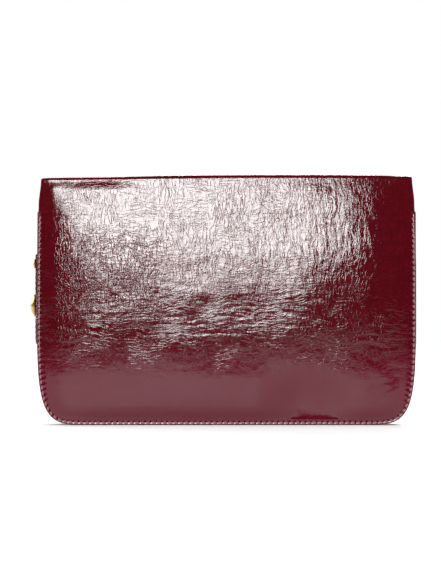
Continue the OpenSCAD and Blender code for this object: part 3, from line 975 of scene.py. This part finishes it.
def front_leather():
    outline = Outline(HALF_W, MOUTH, BODY_CORNER, 150, 240)
    parts = Parts()
    parts.add(*padded_panel(outline, on_front, front_height))
    piece = parts.build("front_leather", [LEATHER, EDGE])
    settle(piece, ["front_panel"], "body")
    return outline


def mouth_edge():
    """The painted edge along the mouth, over the front's leather, board and facing."""
    angle = circle(14)
    x = np.linspace(-HALF_W + 0.6, HALF_W - 0.6, 60)
    thick = (SKIN + CORE + LINING) / 2
    h = SKIN - thick + (thick - 0.02) * np.cos(angle)
    s = MOUTH - 0.35 + 0.62 * np.sin(angle)
    shape = laid(on_front, x[:, None], s[None], h[None])
    settle(closed_piece("mouth_edge", shape, EDGE), body="body")


def wide_layer(name, place, rows, half_width, low, high, material, nodes, body=None,
               blend=None):
    shape = layer(place, rows, half_width, low, high)
    settle(closed_piece(name, shape, material, sharp=40), nodes, body, blend)


def rows_from_foot(low, high, count):
    """Distances that crowd together near a panel's foot, where its outline turns fast."""
    t = np.linspace(0, 1, count)
    return low + (high - low) * t ** 2.2


def linings(back, front, flap):
    inset = RIM + WALL + 0.2
    low, high = -CORE - LINING, -CORE

    def back_width(s):
        """Inside the gussets up to the mouth, and as wide as the fold above it."""
        wide = TOP_HALF_W - 0.8 - float(fold_waist(s))
        narrow = float(back.half_width(s, inset))
        return narrow + (wide - narrow) * float(smooth(MOUTH + 0.4, MOUTH + 1.4, s))

    def front_width(s):
        return float(front.half_width(s, inset))

    def flap_width(s):
        return float(flap.half_width(S_END - s, 0.9))

    rows = np.concatenate([rows_from_foot(inset + 0.05, MOUTH, 50),
                           np.linspace(MOUTH + 0.7, S_MIDDLE, 40)])
    wide_layer("back_lining_leather", on_hide, rows, back_width, low, high - 0.15, SUEDE,
               ["back_lining"], blend=BACK_BLEND)
    rows = rows_from_foot(inset + 0.05, MOUTH - 17.2, 60)
    wide_layer("front_lining_leather", on_front, rows, front_width, low, high, SUEDE,
               ["front_lining"], "body")
    rows = np.linspace(MOUTH - 17, MOUTH - 0.3, 14)
    wide_layer("mouth_facing", on_front, rows, front_width, low, high, LEATHER,
               ["front_facing"], "body")
    rows = np.concatenate([np.linspace(S_MIDDLE, S_FLAP + 2, 40),
                           (S_END - rows_from_foot(0.95, S_END - S_FLAP - 3, 70))[::-1]])
    wide_layer("flap_lining_leather", on_hide, rows, flap_width, low, high - 0.05, SUEDE,
               ["flap_lining", "fold_lining"], blend=FLAP_BLEND)
    rows = np.linspace(S_FOLD + 3, S_FLAP_BEND - 3, 8)
    wide_layer("fold_wadding", on_hide, rows, lambda s: TOP_HALF_W - 8, -CORE + 0.1, -0.1, BOARD,
               ["fold_padding"], "fold")


def slip_pocket():
    """A pocket of thin leather on the back's lining, with a painted edge along its top."""
    low, high = -CORE - LINING - 0.9, -CORE - LINING - 0.02
    size = box_size("slip_pocket")
    base = box_mm("slip_pocket")[0][2] / math.cos(LEAN)
    top = base + size[2] / math.cos(LEAN)
    half, corner = size[0] / 2, 14

    def width(s):
        rise = min(max(corner - (s - base), 0), corner)
        return half - corner + math.sqrt(corner * corner - rise * rise) if rise else half

    rows = np.concatenate([base + corner * (1 - np.cos(np.linspace(0.05, math.pi / 2, 16))),
                           np.linspace(base + corner + 2, top, 24)])
    parts = Parts()
    parts.add(*layer(on_hide, rows, width, low, high))
    band = np.linspace(-half + 0.4, half - 0.4, 50)
    angle = circle(10)
    parts.add(*laid(on_hide, band[:, None], (top + 0.5 * np.cos(angle))[None],
                    ((low + high) / 2 + 0.62 * np.sin(angle))[None]), 1)
    settle(parts.build("slip_pocket_leather", [POCKET, EDGE]),
           ["slip_pocket"], "body")

    inner = corner - STITCH_IN
    arc = np.linspace(0, math.pi / 2, 12)
    side = half - STITCH_IN
    right = np.concatenate([
        [[side, top]],
        np.stack([side - inner + inner * np.cos(arc),
                  base + STITCH_IN + inner - inner * np.sin(arc)], 1),
    ])
    path = np.concatenate([right, (right * (-1, 1))[::-1]])
    stitch_row("pocket_thread", path, facing(on_hide), -low, "body", "pocket_stitches")


def facing(place):
    """The same surface seen from its inner side, so that heights rise into the purse."""
    return lambda x, s, h: place(x, s, -np.asarray(h))


# ---- gussets

def gusset_sections(outline, keep, section):
    """Rings of a gusset: section(z) gives the closed profile as (inset, y) at height z."""
    rings, flats = [], []
    run = outline.run[keep]
    for point, normal, at in zip(outline.points[keep], outline.normals[keep], run):
        profile = section(point[1])
        flat = point - normal * profile[:, :1]
        rings.append(np.stack([flat[:, 0], profile[:, 1], flat[:, 1] * math.cos(LEAN)], 1))
        flats.append(np.stack([np.cumsum(np.r_[0, np.hypot(*np.diff(profile, axis=0).T)]),
                               np.full(len(profile), at)], 1))
    return np.array(rings), np.array(flats)


def wall_dip(across, z):
    """How far a gusset's wall folds inwards, which it does a little towards the mouth."""
    return 3.2 * float(smooth(112, MOUTH, z)) * (1 - np.abs(across)) ** 1.2


def gusset_profile(z):
    """The gusset's channel: a flange along each panel and a wall between them."""
    reach = panel_y(z) - 0.04
    inner = panel_y(z) - CORE
    bend = 1.5
    turn = np.linspace(0, math.pi / 2, 5)
    across = np.linspace(1, -1, 13)[1:-1]
    wall_y = (inner - bend) * across
    dip = wall_dip(across, z)
    back = [(0.15, reach), (0.1, inner + 0.2), (0.35, inner)]
    back += [(RIM - bend + bend * math.sin(a), inner - bend + bend * math.cos(a)) for a in turn]
    front = [(d, -y) for d, y in back[::-1]]
    deep = RIM + WALL
    back_in = [(deep - 0.6, reach), (deep, inner)]
    front_in = [(d, -y) for d, y in back_in]
    return np.array(back + list(zip(RIM + dip, wall_y)) + front + front_in
                    + list(zip(deep + dip[::-1], wall_y[::-1])) + back_in[::-1])


def gusset_lining_profile(z):
    reach = panel_y(z) - CORE - LINING - 0.15
    across = np.linspace(1, -1, 15)
    outer, inside = (np.stack([RIM + WALL + depth + wall_dip(across, z), reach * across], 1)
                     for depth in (0.06, 0.6))
    return np.concatenate([outer, inside[::-1]])


def gussets():
    outline = Outline(HALF_W, MOUTH, BODY_CORNER, 70, 60)
    turn_x = HALF_W - BODY_CORNER[0]
    x = outline.points[:, 0]
    for name, keep in (("right_gusset", x > turn_x - 0.5),
                       ("bottom_gusset", np.abs(x) < turn_x + 0.5),
                       ("left_gusset", x < -turn_x + 0.5),
                       ("gusset_lining", np.full(len(x), True))):
        lining = name == "gusset_lining"
        profile = gusset_lining_profile if lining else gusset_profile
        piece = closed_piece(name + "_leather", tube(*gusset_sections(outline, keep, profile)),
                             SUEDE if lining else LEATHER, sharp=50)
        settle(piece, [name], "body")


# ---- side tab

TAB_LOW = box_mm("side_tab")[0]
TAB_X, TAB_HALF = TAB_LOW[0], -TAB_LOW[1]
TAB_THICK = box_size("side_tab")[0]
TAB_TOP = box_mm("tab_anchor")[1][2]
BEND_Z = HINGE["tab_bend"][2]
TAB_CAP_Z = box_middle("tab_cap")[2]
TAB_EASE = 1.6      # how far the tab's upper corners are eased


def on_tab(u, z, h):
    """Places on the side tab: u across it, z up it, h out from its inner face."""
    u, z, h = np.broadcast_arrays(u, z, h)
    return np.stack([TAB_X + h, u, z], -1)


def tab_width(z):
    """Half the tab's width: a round lower end and eased upper corners."""
    rise = min(max(TAB_HALF - (z - TAB_LOW[2]), 0), TAB_HALF)
    round_end = math.sqrt(max(TAB_HALF ** 2 - rise ** 2, 0.04))
    top = max(TAB_EASE - (TAB_TOP - z), 0)
    return round_end - (TAB_EASE - math.sqrt(max(TAB_EASE ** 2 - top ** 2, 0)))


def tab_shape(rows):
    """The tab's strip of leather, a little crowned, with eased edges."""
    columns = 22
    t = np.linspace(-1, 1, columns)
    xs = np.concatenate([t, t[::-1]])[None]
    widths = np.array([tab_width(z) for z in rows])[:, None]
    from_edge = (1 - np.abs(xs)) * np.maximum(widths, 1)
    eased = 0.45 * (1 - np.clip(from_edge / EDGE_ROUND, 0, 1)) ** 2
    crowned = 0.18 * (1 - xs ** 2)
    outside = np.arange(2 * columns)[None] < columns
    h = np.where(outside, TAB_THICK - eased + crowned, eased * 0.8)
    return laid(on_tab, xs * widths, rows[:, None], h)


def side_tab():
    """The tab, the spacer that it is riveted to, and its stitches."""
    low = TAB_LOW[2]
    rows = np.concatenate([low + TAB_HALF * (1 - np.cos(np.linspace(0.02, math.pi / 2, 22))),
                           np.linspace(low + TAB_HALF + 1, TAB_TOP - TAB_EASE, 46),
                           TAB_TOP - TAB_EASE * (1 - np.sin(np.linspace(0.1, math.pi / 2, 6)))])
    bend = [(TAB_X * MM, 0, (BEND_Z + away) * MM) for away in (3, -3)]
    settle(closed_piece("tab_leather", tab_shape(rows), LEATHER, sharp=55),
           ["side_tab"], blend=("body", "tab", *bend))

    gap = TAB_X - GUSSET_X - 0.1
    spots = np.linspace(BEND_Z + 3.4, TAB_TOP - 0.2, 12)
    shape = strip(lambda u, z, h: on_tab(u, z, h - gap), spots, -TAB_HALF + 0.2, TAB_HALF - 0.2,
                  0.0, gap, 0.5)
    settle(closed_piece("tab_spacer", shape, EDGE), ["tab_anchor"], "body")

    edge = TAB_HALF - 1.8
    clear = box_size("tab_cap")[2] / 2 + 1
    arc = np.linspace(0, -math.pi, 13)
    round_row = np.concatenate([
        [[edge, TAB_CAP_Z - clear]],
        np.stack([edge * np.cos(arc), low + TAB_HALF + edge * np.sin(arc)], 1),
        [[-edge, TAB_CAP_Z - clear]],
    ])
    threads, holes = Parts(), Parts()
    for row in ([[edge, BEND_Z - 1], [edge, TAB_CAP_Z + clear]],
                [[-edge, TAB_CAP_Z + clear], [-edge, BEND_Z - 1]], round_row):
        for i, here, along in stitch_spots(row):
            add_stitch(threads, on_tab, here, along, TAB_THICK, i, length=2.4, radius=0.27)
            add_hole(holes, on_tab, here - along * STITCH_PITCH / 2, along, TAB_THICK)
    settle_threads("tab_thread", threads, holes, "tab", "tab_stitches")


# ---- brass

STUD_HEAD_R = 2.3
SOCKET_R, SOCKET_BORE_R = 5, 2.75


def cap_profile(radius, height, post):
    """A domed cap with a rolled rim and its post."""
    post_r = 1.2
    rim = [(radius - 0.55, 0.0), (radius - 0.15, 0.08), (radius, 0.38), (radius - 0.06, 0.66),
           (radius - 0.3, 0.86), (radius - 0.55, 0.9)]
    inner = radius - 0.7
    rise = height - 0.95
    sphere = (inner * inner + rise * rise) / (2 * rise)
    sweep = math.asin(min(inner / sphere, 1))
    dome = [(sphere * math.sin(a), height - sphere * (1 - math.cos(a)))
            for a in np.linspace(0, sweep, 18)]
    return dome + rim[::-1] + [(post_r, 0.0), (post_r, -post), (0, -post)]


def stud_profile(height):
    """A stud's foot, waist and rounded head."""
    head_r, base_r, base_t = STUD_HEAD_R, 4.5, 0.6
    return [(0, height), (head_r - 0.9, height), (head_r - 0.25, height - 0.25),
            (head_r, height - 0.7), (head_r - 0.05, height - 1.0), (head_r - 0.4, height - 1.3),
            (head_r - 0.35, base_t + 0.15), (head_r, base_t + 0.02), (base_r - 0.4, base_t),
            (base_r - 0.05, base_t - 0.15), (base_r, 0.25), (base_r - 0.1, 0.02), (0, 0)]


def socket_profile(thick):
    """Drawn with its flange at the top, against the leather, and its mouth at the foot."""
    outer_r, bore_r = SOCKET_R, SOCKET_BORE_R
    return [(0, thick), (outer_r - 0.1, thick), (outer_r, thick - 0.15), (outer_r, thick - 0.65),
            (outer_r - 0.2, thick - 0.8), (outer_r - 0.6, thick - 0.85), (outer_r - 0.6, 0.3),
            (outer_r - 0.9, 0.0), (bore_r + 0.3, 0.0), (bore_r, 0.25), (bore_r + 0.15, 0.7),
            (bore_r + 0.15, thick - 0.5), (0, thick - 0.5)]


def eyelet_profile(barrel):
    """A barrel through the leather and a rolled flange behind it."""
    return [(0, barrel), (1.0, barrel), (1.2, barrel - 0.2), (1.2, 0.0), (4.3, 0.0), (4.5, -0.15),
            (4.4, -0.4), (4.1, -0.5), (1.9, -0.5), (1.5, -0.35), (1.1, -0.1), (0, -0.1)]


def brass_part(name, node, body, profile, origin, axis):
    settle(lathe(name, profile, origin, axis, BRASS), [node], body)


def tab_brass():
    out = (1.0, 0, 0)
    face = TAB_X + TAB_THICK
    for name, node, body in (("tab_dome", "tab_cap", "tab"),
                             ("tab_rivet_dome", "tab_rivet", "body")):
        low, high = box_mm(node)
        profile = cap_profile(box_size(node)[2] / 2, high[0] - face - 0.05, face - low[0])
        brass_part(name, node, body, profile, (face + 0.2, 0, box_middle(node)[2]), out)
    z = box_middle("tab_stud")[2]
    for name, node, body, profile, spare in (
        ("tab_stud_post", "tab_stud", "body", stud_profile, 0),
        ("tab_socket_cup", "tab_socket", "tab", socket_profile, 0),
        ("tab_eyelet_ring", "tab_eyelet", "body", eyelet_profile, 0.5),
    ):
        foot = (box_mm(node)[0][0] + spare, 0, z)
        brass_part(name, node, body, profile(box_size(node)[0] - spare), foot, out)


def middle_height(height, s):
    """The outer face's height in the middle of a panel, away from its edge."""
    return float(height(np.zeros(1), np.array([s]), PUFF_WIDTH, None)[0])


def upright_part(name, node, body, profile, place, s, foot, head):
    """A turned part that stands on a panel at the distance s, with its foot at a height and
    its axis towards a higher point."""
    foot, head = place(0.0, s, foot), place(0.0, s, head)
    brass_part(name, node, body, profile, foot, head - foot)


def closure_brass():
    """The press stud that holds the flap: stud and eyelet on the front, cap and socket above."""
    s = box_middle("front_stud")[2] / math.cos(LEAN)
    base = middle_height(front_height, s)
    upright_part("front_stud_post", "front_stud", "body", stud_profile(2.3), on_front, s,
                 base - 0.35, base + 0.65)
    upright_part("front_eyelet_ring", "front_eyelet", "body", eyelet_profile(2.6), on_front, s,
                 -CORE - LINING - 0.05, 0.0)

    s = S_END - (FLAP_LEN - (FOLD_Z - box_middle("flap_cap")[2]) / math.cos(FLAP_LEAN))
    base = middle_height(flap_height, s)
    profile = cap_profile(box_size("flap_cap")[0] / 2, 3.1, base + 2)
    upright_part("flap_dome", "flap_cap", "flap", profile, on_hide, s, base - 0.3, base + 0.7)
    thick = 1.9
    inside = -CORE - LINING
    upright_part("flap_socket_cup", "flap_socket", "flap", socket_profile(thick), on_hide, s,
                 inside - 0.02 - thick, inside)


# ---- rows of stitches

def seam_rows(back, front, flap):
    level = SKIN - 0.12
    for name, outline, top, place, body in (
        ("back_seam", back, SEAM_TOP, on_hide, "body"),
        ("front_seam", front, SEAM_TOP, on_front, "body"),
        ("flap", flap, S_END - S_FLAP - 14, on_flap, "flap"),
    ):
        path = outline.inset(STITCH_IN)
        stitch_row(name + "_thread", path[path[:, 1] <= top], place, level, body,
                   name + "_stitches")
    half = HALF_W - 6
    row = [[half, MOUTH - STITCH_IN], [-half, MOUTH - STITCH_IN]]
    stitch_row("mouth_thread", row, on_front, SKIN, "body", "mouth_stitches", 0)


# ---- build the purse

back_outline = back_leather()
flap_outline = flap_leather()
front_outline = front_leather()
mouth_edge()
linings(back_outline, front_outline, flap_outline)
slip_pocket()
gussets()
side_tab()
tab_brass()
closure_brass()
seam_rows(back_outline, front_outline, flap_outline)
for node in ("back_board", "front_board", "flap_board"):
    board = frame["nodes"][node]
    board.data.materials.clear()
    board.data.materials.append(BOARD)


# ---- floor, light and camera

PURSE_MIDDLE = (0, 0, 0.08)


def floor():
    half = 4.0
    n = Nodes("pale_floor")
    speck = n.noise(n.solid_mm(), 0.02, 2.0)
    material = n.set(Base_Color=n.mix(speck, rgb(0.86, 0.86, 0.86), rgb(0.9, 0.9, 0.9)),
                     Roughness=0.6, Specular_IOR_Level=0.2)
    mesh = bpy.data.meshes.new("floor")
    mesh.from_pydata([(-half, -half, 0), (half, -half, 0), (half, half, 0), (-half, half, 0)], [],
                     [(0, 1, 2, 3)])
    mesh.materials.append(material)
    obj = bpy.data.objects.new("floor", mesh)
    bpy.context.scene.collection.objects.link(obj)


def softbox(name, place, target, size, radiance, glossy=True, round_edge=False):
    """A soft light; radiance is how bright its face is, next to a white floor."""
    data = bpy.data.lights.new(name, "AREA")
    data.shape = "ELLIPSE" if round_edge else "RECTANGLE"
    data.size, data.size_y = size
    share = math.pi / 4 if round_edge else 1
    data.energy = radiance * math.pi * size[0] * size[1] * share
    obj = bpy.data.objects.new(name, data)
    bpy.context.scene.collection.objects.link(obj)
    obj.location = place
    way = np.array(target, float) - np.array(place, float)
    yaw = math.atan2(way[1], way[0])
    pitch = math.atan2(way[2], math.hypot(way[0], way[1]))
    obj.rotation_euler = (math.pi / 2 + pitch, 0, yaw - math.pi / 2)
    obj.visible_camera = False
    obj.visible_glossy = glossy


def world():
    """White to the camera and to matt surfaces, and a dim room in reflections."""
    made = bpy.data.worlds.new("studio")
    made.use_nodes = True
    tree = made.node_tree
    tree.nodes.clear()

    def background(level):
        node = tree.nodes.new("ShaderNodeBackground")
        node.inputs["Color"].default_value = rgb(1, 1, 1)
        node.inputs["Strength"].default_value = level
        return node.outputs[0]

    def choose(factor, a, b):
        node = tree.nodes.new("ShaderNodeMixShader")
        tree.links.new(factor, node.inputs[0])
        tree.links.new(a, node.inputs[1])
        tree.links.new(b, node.inputs[2])
        return node.outputs[0]

    path = tree.nodes.new("ShaderNodeLightPath")
    room = choose(path.outputs["Is Glossy Ray"], background(0.75), background(0.02))
    seen = choose(path.outputs["Is Camera Ray"], room, background(1.0))
    output = tree.nodes.new("ShaderNodeOutputWorld")
    tree.links.new(seen, output.inputs["Surface"])
    made.cycles.sampling_method = "NONE"
    bpy.context.scene.world = made


def camera():
    """Level with the purse's middle, straight behind it, far off, with a long lens."""
    distance, aside, level = 2.5, 0.0038, 0.0828
    width_seen = 0.2785
    data = bpy.data.cameras.new("camera")
    data.sensor_fit = "HORIZONTAL"
    data.lens = data.sensor_width * distance / width_seen
    data.clip_end = 50
    obj = bpy.data.objects.new("camera", data)
    bpy.context.scene.collection.objects.link(obj)
    obj.location = (aside, distance + FOOT_Y * MM, level)
    obj.rotation_euler = (math.pi / 2, 0, math.pi)
    bpy.context.scene.camera = obj


def lights():
    """A large soft light behind the purse and one before it, each brighter towards its
    middle, with plain ones above and at the sides."""
    rings = ((1.16, 1.5), (1.0, 7.5), (0.86, 8), (0.68, 6), (0.45, 4))
    for step, (scale, radiance) in enumerate(rings):
        softbox("key_%d" % step, (0.205, 4.4 + 0.02 * step, 1.15), PURSE_MIDDLE,
                (0.93 * scale, 1.31 * scale), radiance * 0.93, round_edge=True)
        softbox("front_key_%d" % step, (-0.4, -4.4 - 0.02 * step, 1.3), PURSE_MIDDLE,
                (1.5 * scale, 1.2 * scale), radiance * 0.8, round_edge=True)
    softbox("overhead", (0, 0.3, 2.6), (0, 0, 0), (2.4, 2.4), 2.2, glossy=False)
    softbox("left_wall", (-3.4, 0.6, 0.7), PURSE_MIDDLE, (1.6, 1.4), 2.2)
    softbox("right_wall", (3.4, 0.9, 1.3), PURSE_MIDDLE, (1.6, 1.4), 2.2)
    softbox("tab_light", (2.3, -2.8, 1.3), PURSE_MIDDLE, (1.5, 2.2), 5)


floor()
world()
lights()
camera()
bpy.context.scene.view_settings.view_transform = "Standard"
